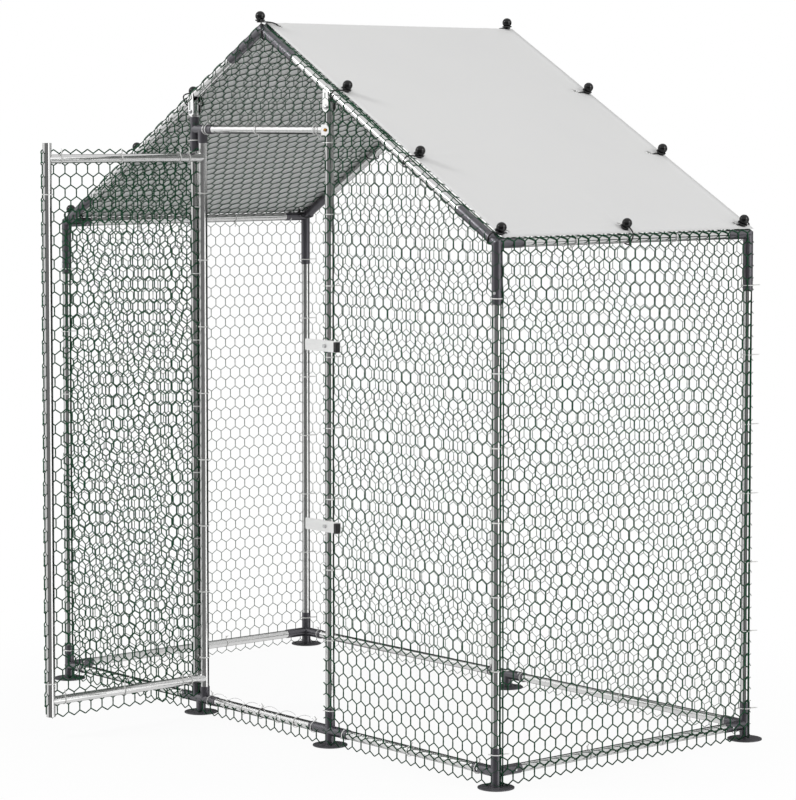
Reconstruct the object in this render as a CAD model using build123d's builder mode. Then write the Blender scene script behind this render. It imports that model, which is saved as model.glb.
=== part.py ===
"""Walk-in metal chicken coop: a gabled frame of plug-together steel tube, covered with hexagonal wire net.

The frame stands on seven foot plates, with X along the wide front wall, the door on the -Y side and +Z up.
The origin lies on the ground, in the middle of the box that the coop fills with its door open.
"""

import os
from math import ceil, cos, radians, sin, tan

from build123d import *

os.makedirs("parts", exist_ok=True)

# Overall sizes, in millimetres, between the axes of the tubes
width = 2000.0
depth = 950.0
eave_height = 1434.0
roof_pitch = 30.0

# Tubes and the connectors that they plug into
tube_od = 25.0
tube_wall = 1.0
connector_wall = 1.3
socket_clearance = 0.3
rail_height = 42.0
foot_arm = 83.0
foot_socket = 64.0
eave_post_arm = 160.0
rafter_arm = 168.0
beam_arm = 86.0
beam_wall = 1.0
socket_stop = 18.0

# Feet
foot_plate_diameter = 98.0
foot_plate_thickness = 2.5

# Doorway: the two feet beside it, and the hinge socket beside the left post
doorway = 610.0
hinge_spacing = 40.0
door_foot_arm = 80.0
hinge_socket_rise = 24.0
header_below_rafter = 97.7
header_arm = 92.0
header_sleeve_below = 64.0
header_sleeve_above = 36.0
hinge_socket_drop = 40.0
header_flat = 30.0
header_flat_thickness = 1.5
header_taper = 25.0
header_tongue = 44.0
rafter_gap = 2.0

# Door leaf, open at a right angle to the wall
door_width = 543.0
door_bottom_rise = 63.0
door_top_drop = 82.0
stile_overhang = 45.0
weld_gap = 0.1

# Turn latches on the right door post
latch_lower_rise = 579.0
latch_spacing = 505.0
latch_reach = 87.0
latch_tail = 68.0
latch_height = 32.0
latch_thickness = 2.0
latch_corner = 4.0
latch_gap = 0.5
grip_width = 13.0
grip_depth = 14.0
grip_height = 28.0
grip_round = 2.0
bolt_diameter = 6.0
bolt_clearance = 0.3
spacer_diameter = 12.0
bolt_head = 12.0
bolt_head_thickness = 4.0

# Straps that hold the tops of the door posts to the rafters
strap_thickness = 1.5
strap_width = 26.0
strap_drop = 46.0
strap_hole = 6.0

# Wire net, drawn as a flat net of wide gaps
net_thickness = 1.0
net_strand = 5.0
net_gap = 260.0
net_least_gap = 4000.0
net_hem = 6.0
net_ground_gap = 5.0
net_wrap = 12.0
net_seam = 4.0
side_net_drop = 14.0
door_net_wrap = 10.0
door_net_overhang = 18.0
fit_gap = 0.3

# Roof cover and the ball bungees that tie it down
cover_thickness = 0.8
cover_front_inset = 16.0
cover_eave_inset = 2.0
eyelet_hem = 34.0
eyelet_reach = 37.0
eyelet_diameter = 9.0
eyelet_first_left = 407.0
eyelet_first_right = 384.0
eyelet_second = 741.0
eyelet_corner = 21.0
cord_diameter = 4.0
ball_diameter = 28.0
ball_neck = 20.0
ball_neck_height = 8.5
front_ball_offset = 29.0
front_ridge_ball_offset = -6.0
rear_ball_offset = -2.0
rear_ridge_ball_offset = 7.0
corner_ball_offset = 16.0
eave_ball_offset = 22.0
cord_chamfer = 9.0
ridge_shift = 18.0

# Sizes that follow from the ones above
tube_r = tube_od / 2
socket_id = tube_od + 2 * socket_clearance
connector_od = socket_id + 2 * connector_wall
connector_r = connector_od / 2
beam_r = socket_id / 2 + beam_wall
half_width = width / 2
slope = radians(roof_pitch)
ridge_height = eave_height + half_width * tan(slope)
slope_length = half_width / cos(slope)
front_y = (door_width + tube_r - depth - foot_plate_diameter / 2) / 2
rear_y = front_y + depth
left_foot_x = -doorway / 2
left_post_x = left_foot_x - hinge_spacing / 2
header_z = ridge_height + left_post_x * tan(slope) - header_below_rafter
hinge_x = left_foot_x + hinge_spacing / 2
right_post_x = doorway / 2
door_bottom_z = rail_height + door_bottom_rise
door_top_z = header_z - door_top_drop
free_y = front_y - door_width
latch_lower_z = rail_height + latch_lower_rise
latch_upper_z = latch_lower_z + latch_spacing
strap_reach = tube_r + weld_gap
net_standoff = max(connector_r, strap_reach + strap_thickness) + fit_gap
latch_back_y = front_y - net_standoff - net_thickness - latch_gap
latch_front_y = latch_back_y - latch_thickness
cover_lift = net_standoff + net_thickness + fit_gap
cord_r = cord_diameter / 2
cord_lane = connector_r + fit_gap + cord_r
net_below_rafter = cord_lane + cord_r + fit_gap
cover_rear_overhang = cord_lane - cord_r - fit_gap
front_eyelet_reach = cover_front_inset + eyelet_hem


def save(part, name):
    """Labels a finished piece and writes it under its own name."""
    part.label = name
    export_step(part, f"parts/{name}.step")


def rafter_z(x):
    """Height of the rafter's axis above a place on the front wall."""
    return ridge_height - abs(x) * tan(slope)


def rafter_point(side, s, y):
    """Point on a rafter's axis, s down the slope from the ridge, on the side -1 or +1."""
    return Vector(side * s * cos(slope), y, ridge_height - s * sin(slope))


def roof_normal(side):
    """Direction square to a roof slope, pointing up and out."""
    return Vector(side * sin(slope), 0, cos(slope))


def tube(start, end):
    """Round steel tube between two points of its axis."""
    run = Vector(*end) - Vector(*start)
    with BuildPart() as piece:
        with BuildSketch(Plane(origin=start, z_dir=run)):
            Circle(tube_r)
            Circle(tube_r - tube_wall, mode=Mode.SUBTRACT)
        extrude(amount=run.length)
    return piece.part


def straight_connector(sleeves, sockets, stubs=()):
    """Welded connector: sleeves open right through, sockets that stop at a sleeve's wall, closed stubs."""
    with BuildPart() as piece:
        for start, end in [*sleeves, *sockets, *stubs]:
            run = Vector(*end) - Vector(*start)
            with BuildSketch(Plane(origin=start, z_dir=run)):
                Circle(connector_r)
            extrude(amount=run.length)
        for start, end in sockets:
            run = Vector(*end) - Vector(*start)
            with BuildSketch(Plane(origin=Vector(*start) + run.normalized() * connector_r, z_dir=run)):
                Circle(socket_id / 2)
            extrude(amount=run.length - connector_r, mode=Mode.SUBTRACT)
        for start, end in sleeves:
            run = Vector(*end) - Vector(*start)
            with BuildSketch(Plane(origin=start, z_dir=run)):
                Circle(socket_id / 2)
            extrude(amount=run.length, mode=Mode.SUBTRACT)
    return piece.part


def mitred_connector(corner, mouths, beam_mouth):
    """Two tube sockets mitred together at a corner, with a beam socket welded across the mitre."""
    with BuildPart() as piece:
        with BuildLine() as route:
            Polyline(mouths[0], corner, mouths[1])
        with BuildSketch(Plane(origin=route.line @ 0, z_dir=route.line % 0)):
            Circle(connector_r)
        sweep(path=route.line, transition=Transition.RIGHT)
        beam = Vector(*beam_mouth) - Vector(*corner)
        with BuildSketch(Plane(origin=corner, z_dir=beam)):
            Circle(beam_r)
        extrude(amount=beam.length)
        for mouth in (*mouths, beam_mouth):
            run = Vector(*mouth) - Vector(*corner)
            with BuildSketch(Plane(origin=Vector(*corner) + run.normalized() * socket_stop, z_dir=run)):
                Circle(socket_id / 2)
            extrude(amount=run.length - socket_stop, mode=Mode.SUBTRACT)
    return piece.part


def net_gaps(corners):
    """Hexagonal gaps of a net, cut off square along the hem inside its outline."""
    spread_x = [corner[0] for corner in corners]
    spread_y = [corner[1] for corner in corners]
    gap_r = net_gap / 2 / cos(radians(30))
    column = net_gap + net_strand
    row = column * cos(radians(30))
    middle = (max(spread_x) + min(spread_x)) / 2
    columns = ceil((max(spread_x) - min(spread_x)) / column / 2) + 1
    rows = ceil((max(spread_y) - min(spread_y)) / row) + 1
    places = [
        (middle + (i + 0.5 * (j % 2)) * column, min(spread_y) + j * row)
        for i in range(-columns, columns)
        for j in range(rows)
    ]
    with BuildSketch() as gaps:
        with BuildLine():
            Polyline(*corners, close=True)
        make_face()
        offset(amount=-net_hem, mode=Mode.REPLACE)
        with BuildSketch(mode=Mode.PRIVATE) as hexagons:
            with Locations(*places):
                RegularPolygon(gap_r, 6, rotation=30)
        add(hexagons.sketch, mode=Mode.INTERSECT)
    return [gap for gap in gaps.sketch.faces() if gap.area > net_least_gap]


def net(plane, corners):
    """Flat net in a plane, one holed face with a hem strand round its edge."""
    gaps = net_gaps(corners)
    with BuildPart() as piece:
        with BuildSketch(plane):
            with BuildLine():
                Polyline(*corners, close=True)
            make_face()
            add(gaps, mode=Mode.SUBTRACT)
        extrude(amount=net_thickness)
    return piece.part


# Corner posts stand on the foot plates and end at the stops in the eave connectors
sides = {"left": -1, "right": 1}
walls = {"front": front_y, "rear": rear_y}
for wall, y in walls.items():
    for side, sign in sides.items():
        x = sign * half_width
        top = eave_height - socket_stop
        save(tube((x, y, foot_plate_thickness), (x, y, top)), f"corner_post_{wall}_{side}")

# Door posts, the left one standing on its connector's cross tube and the right one on its foot plate
left_post_top = rafter_z(left_post_x - connector_r) - tube_r / cos(slope) - rafter_gap
right_post_top = rafter_z(right_post_x + tube_r) - tube_r / cos(slope) - rafter_gap
left_post_seat = rail_height + connector_r
save(tube((left_post_x, front_y, left_post_seat), (left_post_x, front_y, left_post_top)), "door_post_left")

with BuildPart() as door_post_right:
    with BuildSketch(Plane.XY.offset(foot_plate_thickness)):
        with Locations((right_post_x, front_y)):
            Circle(tube_r)
            Circle(tube_r - tube_wall, mode=Mode.SUBTRACT)
    extrude(amount=right_post_top - foot_plate_thickness)
    with BuildSketch(Plane.XZ.offset(-front_y)):
        with Locations(*[(right_post_x, z) for z in (latch_lower_z, latch_upper_z, header_z)]):
            Circle(bolt_diameter / 2 + bolt_clearance)
    extrude(amount=tube_od, mode=Mode.SUBTRACT)
save(door_post_right.part, "door_post_right")

# Bottom rails, whose ends butt against the connectors or meet inside a cross tube
rail_inset = half_width - connector_r
butt_gap = fit_gap / 2
front_rails = {
    "front_rail_left": (-rail_inset, left_foot_x - butt_gap),
    "door_sill_rail": (left_foot_x + butt_gap, right_post_x - connector_r),
    "front_rail_right": (right_post_x + connector_r, rail_inset),
}
for name, (start, end) in front_rails.items():
    save(tube((start, front_y, rail_height), (end, front_y, rail_height)), name)
for side, sign in sides.items():
    inner = (sign * butt_gap, rear_y, rail_height)
    outer = (sign * rail_inset, rear_y, rail_height)
    save(tube(inner, outer), f"rear_rail_{side}")
    front_end = (sign * half_width, front_y + connector_r, rail_height)
    rear_end = (sign * half_width, rear_y - connector_r, rail_height)
    save(tube(front_end, rear_end), f"side_rail_{side}")

# Eave rails and the ridge pole lie level, in the beam sockets of the mitred connectors
beam_starts = front_y + socket_stop
beam_ends = rear_y - socket_stop
for side, sign in sides.items():
    eave_x = sign * half_width
    save(tube((eave_x, beam_starts, eave_height), (eave_x, beam_ends, eave_height)), f"eave_rail_{side}")
save(tube((0, beam_starts, ridge_height), (0, beam_ends, ridge_height)), "ridge_pole")

# Rafters run between the stops in the eave and ridge connectors
for wall, y in walls.items():
    for side, sign in sides.items():
        low = rafter_point(sign, slope_length - socket_stop, y)
        high = rafter_point(sign, socket_stop, y)
        save(tube(low, high), f"rafter_{wall}_{side}")

# Door header: a tube whose right end is pressed flat and bolted to the front of the right post
flat_y = front_y - tube_r - weld_gap - header_flat_thickness / 2
header_start = left_post_x + connector_r
header_end = right_post_x - header_tongue
header_run = header_end - header_start
with BuildPart() as door_header:
    with BuildSketch(Plane.YZ.offset(header_start)):
        with Locations((front_y, header_z)):
            Circle(tube_r)
            Circle(tube_r - tube_wall, mode=Mode.SUBTRACT)
    extrude(amount=header_run)
    with BuildSketch(Plane.YZ.offset(header_end)):
        with Locations((front_y, header_z)):
            Circle(tube_r)
    with BuildSketch(Plane.YZ.offset(header_end + header_taper)):
        with Locations((flat_y, header_z)):
            SlotOverall(header_flat, header_flat_thickness, rotation=90)
    loft()
    with BuildSketch(Plane.XZ.offset(-flat_y)):
        with Locations((right_post_x, header_z)):
            Circle(header_flat / 2)
        with Locations(((header_end + header_taper + right_post_x) / 2, header_z)):
            Rectangle(header_tongue - header_taper, header_flat)
    extrude(amount=header_flat_thickness / 2, both=True)
    with BuildSketch(Plane.XZ.offset(-flat_y)):
        with Locations((right_post_x, header_z)):
            Circle(bolt_diameter / 2 + bolt_clearance)
    extrude(amount=header_flat_thickness, both=True, mode=Mode.SUBTRACT)
save(door_header.part, "door_header")

# Corner feet: a through tube for the post, with a rail socket along each wall
socket_top = rail_height + foot_socket
for wall, y in walls.items():
    into_y = 1 if wall == "front" else -1
    for side, sign in sides.items():
        x = sign * half_width
        node = (x, y, rail_height)
        rail_mouths = [(x - sign * foot_arm, y, rail_height), (x, y + into_y * foot_arm, rail_height)]
        corner_foot = straight_connector(
            sleeves=[((x, y, foot_plate_thickness), (x, y, socket_top))],
            sockets=[(node, mouth) for mouth in rail_mouths],
        )
        save(corner_foot, f"corner_foot_connector_{wall}_{side}")

# Left door foot: a cross tube over a short stub, carrying the post socket and the hinge socket side by side
hinge_socket_top = rail_height + connector_r + hinge_socket_rise
cross_start = (left_foot_x - door_foot_arm, front_y, rail_height)
cross_end = (left_foot_x + door_foot_arm, front_y, rail_height)
left_foot = straight_connector(
    sleeves=[(cross_start, cross_end)],
    sockets=[
        ((left_post_x, front_y, rail_height), (left_post_x, front_y, socket_top)),
        ((hinge_x, front_y, rail_height), (hinge_x, front_y, hinge_socket_top)),
    ],
    stubs=[((left_foot_x, front_y, foot_plate_thickness), (left_foot_x, front_y, rail_height))],
)
save(left_foot, "door_foot_connector_left")

# Right door foot: a tee with a through tube for the post
right_node = (right_post_x, front_y, rail_height)
right_foot = straight_connector(
    sleeves=[((right_post_x, front_y, foot_plate_thickness), (right_post_x, front_y, socket_top))],
    sockets=[(right_node, (right_post_x + reach, front_y, rail_height)) for reach in (-foot_arm, foot_arm)],
)
save(right_foot, "door_foot_connector_right")

# Rear foot: a cross tube over a short stub, with no post
rear_foot = straight_connector(
    sleeves=[((-door_foot_arm, rear_y, rail_height), (door_foot_arm, rear_y, rail_height))],
    sockets=[],
    stubs=[((0, rear_y, foot_plate_thickness), (0, rear_y, rail_height))],
)
save(rear_foot, "rear_foot_connector")

# Foot plates, one under each foot
foot_places = [(x, y) for x in (-half_width, half_width) for y in (front_y, rear_y)]
foot_places += [(left_foot_x, front_y), (right_post_x, front_y), (0, rear_y)]
with BuildPart() as foot_plates:
    with BuildSketch():
        with Locations(*foot_places):
            Circle(foot_plate_diameter / 2)
    extrude(amount=foot_plate_thickness)
save(foot_plates.part, "foot_plates")

# Eave connectors join post, rafter and eave rail, and ridge connectors join two rafters and the ridge pole
for wall, y in walls.items():
    beam_y = y + beam_arm if wall == "front" else y - beam_arm
    for side, sign in sides.items():
        corner = (sign * half_width, y, eave_height)
        post_mouth = (sign * half_width, y, eave_height - eave_post_arm)
        rafter_mouth = rafter_point(sign, slope_length - rafter_arm, y)
        beam_mouth = (sign * half_width, beam_y, eave_height)
        eave_connector = mitred_connector(corner, [post_mouth, rafter_mouth], beam_mouth)
        save(eave_connector, f"eave_connector_{wall}_{side}")
    rafter_mouths = [rafter_point(sign, rafter_arm, y) for sign in (-1, 1)]
    ridge_connector = mitred_connector((0, y, ridge_height), rafter_mouths, (0, beam_y, ridge_height))
    save(ridge_connector, f"ridge_connector_{wall}")

# Hinge header connector: a sleeve on the left post, an arm for the header and a hinge socket under the arm
sleeve_foot = (left_post_x, front_y, header_z - header_sleeve_below)
sleeve_head = (left_post_x, front_y, header_z + header_sleeve_above)
hinge_header = straight_connector(
    sleeves=[(sleeve_foot, sleeve_head)],
    sockets=[
        ((left_post_x, front_y, header_z), (left_post_x + header_arm, front_y, header_z)),
        ((hinge_x, front_y, header_z), (hinge_x, front_y, header_z - hinge_socket_drop)),
    ],
)
save(hinge_header, "hinge_header_connector")

# Straps saddle the rafters over the door posts, with a flat leg on the front and the back of each post
for side, x in {"left": left_post_x, "right": right_post_x}.items():
    sign = sides[side]
    saddle = Vector(x, front_y, rafter_z(x))
    along = Vector(sign * cos(slope), 0, -sin(slope))
    across = Plane(origin=saddle - along * (strap_width / 2), x_dir=(0, 1, 0), z_dir=along)
    wall_plane = Plane(origin=saddle, x_dir=(1, 0, 0), z_dir=(0, -1, 0))
    half_run = strap_width / 2 * cos(slope)
    half_fall = sign * strap_width / 2 * sin(slope)
    leg_outline = [
        (-half_run, half_fall),
        (half_run, -half_fall),
        (strap_width / 2, -strap_drop),
        (-strap_width / 2, -strap_drop),
    ]
    with BuildPart() as strap:
        for leg_offset in (strap_reach, -strap_reach - strap_thickness):
            with BuildSketch(wall_plane.offset(leg_offset)):
                with BuildLine():
                    Polyline(*leg_outline, close=True)
                make_face()
                with Locations((0, -strap_drop)):
                    Circle(strap_width / 2)
                    Circle(strap_hole / 2, mode=Mode.SUBTRACT)
            extrude(amount=strap_thickness)
        with BuildSketch(across):
            Circle(strap_reach + strap_thickness)
            Circle(strap_reach, mode=Mode.SUBTRACT)
            with Locations((0, sign * tube_od)):
                Rectangle(2 * tube_od, 2 * tube_od, mode=Mode.INTERSECT)
        extrude(amount=strap_width)
    save(strap.part, f"rafter_strap_{side}")


# Wall nets hang on the outside of the frame, from just under the rafters to just above the ground
def net_top(x):
    """Height of the slanting top edge of a gable net, clear of the bungees round the rafter."""
    return rafter_z(x) - net_below_rafter / cos(slope)


front_wall = Plane(origin=(0, front_y - net_standoff, 0), x_dir=(1, 0, 0), z_dir=(0, -1, 0))
net_edge = half_width + net_wrap
right_net_start = right_post_x + spacer_diameter / 2 + 2 * net_seam
front_nets = {
    "front_mesh_left": [
        (-net_edge, net_ground_gap),
        (left_post_x, net_ground_gap),
        (left_post_x, net_top(left_post_x)),
        (-net_edge, net_top(net_edge)),
    ],
    "front_mesh_right": [
        (right_net_start, net_ground_gap),
        (net_edge, net_ground_gap),
        (net_edge, net_top(net_edge)),
        (right_net_start, net_top(right_net_start)),
    ],
    "front_mesh_gable": [
        (left_post_x + net_seam, header_z),
        (right_post_x + net_seam, header_z),
        (right_post_x + net_seam, net_top(right_post_x + net_seam)),
        (0, net_top(0)),
        (left_post_x + net_seam, net_top(left_post_x + net_seam)),
    ],
    "sill_mesh": [
        (left_post_x + net_seam, net_ground_gap),
        (right_post_x + net_seam, net_ground_gap),
        (right_post_x + net_seam, rail_height + tube_r),
        (left_post_x + net_seam, rail_height + tube_r),
    ],
}
for name, corners in front_nets.items():
    save(net(front_wall, corners), name)

rear_wall = Plane(origin=(0, rear_y + net_standoff, 0), x_dir=(-1, 0, 0), z_dir=(0, 1, 0))
rear_corners = [
    (-net_edge, net_ground_gap),
    (net_edge, net_ground_gap),
    (net_edge, net_top(net_edge)),
    (0, net_top(0)),
    (-net_edge, net_top(net_edge)),
]
save(net(rear_wall, rear_corners), "rear_mesh")

# Side nets reach up to the eave rails, and roof nets lie on the rafters from the ridge to the eave rails
net_reach = depth / 2 + net_wrap
middle_y = (front_y + rear_y) / 2
for side, sign in sides.items():
    side_wall = Plane(
        origin=(sign * (half_width + net_standoff), middle_y, 0),
        x_dir=(0, sign, 0),
        z_dir=(sign, 0, 0),
    )
    side_corners = [
        (-net_reach, net_ground_gap),
        (net_reach, net_ground_gap),
        (net_reach, eave_height - side_net_drop),
        (-net_reach, eave_height - side_net_drop),
    ]
    save(net(side_wall, side_corners), f"side_mesh_{side}")
    ridge_point = Vector(0, middle_y, ridge_height) + roof_normal(sign) * net_standoff
    roof_slope = Plane(origin=ridge_point, x_dir=(0, sign, 0), z_dir=roof_normal(sign))
    roof_corners = [
        (-net_reach, -slope_length),
        (net_reach, -slope_length),
        (net_reach, 0),
        (-net_reach, 0),
    ]
    save(net(roof_slope, roof_corners), f"roof_mesh_{side}")

# Bungee places: a point on the tube, the ways in and up, how far in the eyelet and the ball are,
# the cover's height there, the loop's depth and its shift along the wall
# At the ridge each loop passes beside the ridge pole, so it is shifted along the wall and hangs lower
ridge_lift = cover_lift / cos(slope)
ridge_depth = connector_r / cos(slope) + (ridge_shift + cord_r) * tan(slope) + fit_gap + cord_r
corner_run = slope_length - eyelet_corner
bungee_places = []
for y, into_y, reach, slope_ball, ridge_ball in (
    (front_y, 1, front_eyelet_reach, front_ball_offset, front_ridge_ball_offset),
    (rear_y, -1, eyelet_reach, rear_ball_offset, rear_ridge_ball_offset),
):
    inward = Vector(0, into_y, 0)
    ridge_ways = (Vector(0, y, ridge_height), inward, Vector(0, 0, 1))
    bungee_places.append((*ridge_ways, reach, ridge_ball, ridge_lift, ridge_depth, ridge_shift))
    for sign, first_run in ((-1, eyelet_first_left), (1, eyelet_first_right)):
        up = roof_normal(sign)
        for s, ball in (
            (first_run, slope_ball),
            (eyelet_second, slope_ball),
            (corner_run, corner_ball_offset),
        ):
            seat = rafter_point(sign, s, y)
            bungee_places.append((seat, inward, up, reach, ball, cover_lift, cord_lane, 0))
for sign in (-1, 1):
    up = roof_normal(sign)
    up_slope = Vector(-sign * cos(slope), 0, sin(slope))
    seat = Vector(sign * half_width, middle_y, eave_height)
    bungee_places.append((seat, up_slope, up, eyelet_reach, eave_ball_offset, cover_lift, cord_lane, 0))

# Roof cover: one sheet folded over the ridge, with an eyelet for each bungee
cover_run = slope_length - cover_eave_inset
cover_outline = []
for lift in (cover_lift, cover_lift + cover_thickness):
    left_edge, right_edge = [rafter_point(sign, cover_run, 0) + roof_normal(sign) * lift for sign in (-1, 1)]
    fold = (0, ridge_height + lift / cos(slope))
    line = [(left_edge.X, left_edge.Z), fold, (right_edge.X, right_edge.Z)]
    cover_outline += line if lift == cover_lift else line[::-1]
with BuildPart() as roof_cover:
    with BuildSketch(Plane.XZ.offset(-rear_y - cover_rear_overhang)):
        with BuildLine():
            Polyline(*cover_outline, close=True)
        make_face()
    extrude(amount=depth + cover_rear_overhang - cover_front_inset)
    for seat, inward, up, reach, ball, lift, depth_below, shift in bungee_places:
        with BuildSketch(Plane(origin=seat, x_dir=inward, z_dir=up)):
            with Locations((reach, -shift)):
                RegularPolygon(eyelet_diameter / 2, 6)
        extrude(amount=lift + tube_od, mode=Mode.SUBTRACT)
save(roof_cover.part, "roof_cover")

# Ball bungees: each cord runs from the ball's neck through its eyelet, round under the tube and back up,
# where its end is hooked round the neck above the first strand
ball_r = ball_diameter / 2
neck_r = ball_neck / 2
ball_centre = ball_neck_height + (ball_r**2 - neck_r**2) ** 0.5
ball_joint = (neck_r, ball_neck_height)
ball_side = (ball_r, ball_centre)
ball_top = (0, ball_centre + ball_r)
with BuildPart() as bungee_balls:
    for seat, inward, up, reach, ball, lift, depth_below, shift in bungee_places:
        neck_foot = seat + inward * ball + up * (lift + cover_thickness + fit_gap)
        with BuildSketch(Plane(origin=neck_foot, x_dir=inward, z_dir=inward.cross(up))):
            with BuildLine():
                Polyline(ball_top, (0, 0), (neck_r, 0), ball_joint)
                ThreePointArc(ball_joint, ball_side, ball_top)
            make_face()
        revolve(axis=Axis(neck_foot, up))
save(bungee_balls.part, "bungee_balls")

hook_side = neck_r + fit_gap + cord_r
hook_corner = hook_side / cos(radians(30))
with BuildPart() as bungee_cords:
    for seat, inward, up, reach, ball, lift, depth_below, shift in bungee_places:
        neck_clear = neck_r + fit_gap + (cord_r if shift else 0)
        level = lift + cover_thickness + fit_gap + cord_r
        hook_level = level + cord_diameter + fit_gap
        loop = [
            (ball + neck_clear, level, 0),
            (reach, level, shift),
            (reach, cord_chamfer - depth_below, shift),
            (reach - cord_chamfer, -depth_below, shift),
            (cord_chamfer - cord_lane, -depth_below, shift),
            (-cord_lane, cord_chamfer - depth_below, shift),
            (-cord_lane, hook_level, shift),
            (ball - hook_corner / 2, hook_level, hook_side),
            (ball + hook_corner / 2, hook_level, hook_side),
            (ball + hook_corner, hook_level, 0),
            (ball + hook_corner / 2, hook_level, -hook_side),
            (ball - hook_corner / 2, hook_level, -hook_side),
            (ball - 3 * hook_corner / 4, hook_level, -hook_side / 2),
        ]
        with BuildLine(Plane(origin=seat, x_dir=inward, z_dir=inward.cross(up))) as cord_route:
            Polyline(*loop)
        route = cord_route.line
        with BuildSketch(Plane(origin=route @ 0, z_dir=route % 0)):
            RegularPolygon(cord_r, 6)
        sweep(path=route, transition=Transition.RIGHT)
save(bungee_cords.part, "bungee_cords")

# Door leaf: two stiles and two rails welded between them, with its net on the outer face
stile_foot = rail_height + connector_r + fit_gap
stile_head = header_z - connector_r - fit_gap
save(tube((hinge_x, front_y, stile_foot), (hinge_x, front_y, stile_head)), "door_hinge_stile")
free_foot = (hinge_x, free_y, door_bottom_z - stile_overhang)
free_head = (hinge_x, free_y, door_top_z + stile_overhang)
save(tube(free_foot, free_head), "door_free_stile")
for name, z in {"door_bottom_rail": door_bottom_z, "door_top_rail": door_top_z}.items():
    with BuildPart() as door_rail:
        with BuildSketch(Plane.XZ.offset(-front_y)):
            with Locations((hinge_x, z)):
                Circle(tube_r)
                Circle(tube_r - tube_wall, mode=Mode.SUBTRACT)
        extrude(amount=door_width)
        with Locations((hinge_x, front_y, z), (hinge_x, free_y, z)):
            Cylinder(tube_r + weld_gap, 2 * tube_od, mode=Mode.SUBTRACT)
    save(door_rail.part, name)
door_face = Plane(origin=(hinge_x - tube_r - fit_gap, front_y, 0), x_dir=(0, -1, 0), z_dir=(-1, 0, 0))
door_corners = [
    (-door_net_wrap, door_bottom_z - door_net_overhang),
    (door_width + door_net_wrap, door_bottom_z - door_net_overhang),
    (door_width + door_net_wrap, door_top_z + door_net_overhang),
    (-door_net_wrap, door_top_z + door_net_overhang),
]
save(net(door_face, door_corners), "door_mesh")

# Turn latches: a plate on a shoulder bolt through the post, with a grip on its tail
latches = {"upper": latch_upper_z, "lower": latch_lower_z}
for level, z in latches.items():
    with BuildPart() as latch_plate:
        with BuildSketch(Plane.XZ.offset(-latch_back_y)):
            with Locations((right_post_x + (latch_tail - latch_reach) / 2, z)):
                RectangleRounded(latch_reach + latch_tail, latch_height, latch_corner)
            with Locations((right_post_x, z)):
                Circle(bolt_diameter / 2 + bolt_clearance, mode=Mode.SUBTRACT)
        extrude(amount=latch_thickness)
    save(latch_plate.part, f"latch_plate_{level}")
    with BuildPart() as latch_grip:
        with BuildSketch(Plane.XZ.offset(-latch_front_y)):
            with Locations((right_post_x + latch_tail - grip_width / 2, z)):
                Rectangle(grip_width, grip_height)
        extrude(amount=grip_depth)
        fillet(latch_grip.faces().sort_by(Axis.Y)[0].edges(), grip_round)
    save(latch_grip.part, f"latch_grip_{level}")

with BuildPart() as latch_bolts:
    for z in latches.values():
        with BuildSketch(Plane.XZ.offset(fit_gap - latch_front_y)):
            with Locations((right_post_x, z)):
                RegularPolygon(bolt_head / 2, 6)
        extrude(amount=bolt_head_thickness)
        with BuildSketch(Plane.XZ.offset(fit_gap - latch_front_y)):
            with Locations((right_post_x, z)):
                Circle(bolt_diameter / 2)
        extrude(amount=latch_front_y - fit_gap - front_y)
        with BuildSketch(Plane.XZ.offset(weld_gap + tube_r - front_y)):
            with Locations((right_post_x, z)):
                Circle(spacer_diameter / 2)
        extrude(amount=front_y - tube_r - weld_gap - latch_back_y - fit_gap)
save(latch_bolts.part, "latch_bolts")
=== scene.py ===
# %% [markdown]
# # A walk-in chicken coop of steel tube and wire net
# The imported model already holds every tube, connector and latch at its real size, in metres. This lesson
# loads it as a fixed frame and dresses it: woven wire net, a cloth roof cover, elastic loops, nylon ties,
# screws and finishes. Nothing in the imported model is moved; a piece that replaces a plain solid lies where
# the solid lies.

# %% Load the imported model
import math

import bpy
import numpy as np
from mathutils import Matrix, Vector


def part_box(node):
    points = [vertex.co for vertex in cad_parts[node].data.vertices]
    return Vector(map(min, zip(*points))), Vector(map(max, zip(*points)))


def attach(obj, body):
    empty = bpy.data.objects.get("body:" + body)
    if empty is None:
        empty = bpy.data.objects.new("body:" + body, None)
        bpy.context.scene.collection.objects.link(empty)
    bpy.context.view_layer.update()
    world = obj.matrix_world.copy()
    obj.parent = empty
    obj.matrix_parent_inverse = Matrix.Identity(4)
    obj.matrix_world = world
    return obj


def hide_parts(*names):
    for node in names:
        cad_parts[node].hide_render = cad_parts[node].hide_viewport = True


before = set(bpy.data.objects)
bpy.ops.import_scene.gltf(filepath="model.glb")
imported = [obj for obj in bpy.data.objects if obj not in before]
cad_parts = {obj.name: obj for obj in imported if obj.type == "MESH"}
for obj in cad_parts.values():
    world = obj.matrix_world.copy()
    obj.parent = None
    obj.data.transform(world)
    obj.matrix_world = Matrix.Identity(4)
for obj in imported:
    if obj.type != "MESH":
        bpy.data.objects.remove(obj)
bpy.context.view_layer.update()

# %% [markdown]
# A part's place is read from its box and not typed in again, so the dressing follows the model if the
# model changes. The middle of a straight tube's box is a point on its axis.

# %% Read the places of the frame
def middle(node):
    low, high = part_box(node)
    return (low + high) / 2


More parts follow.
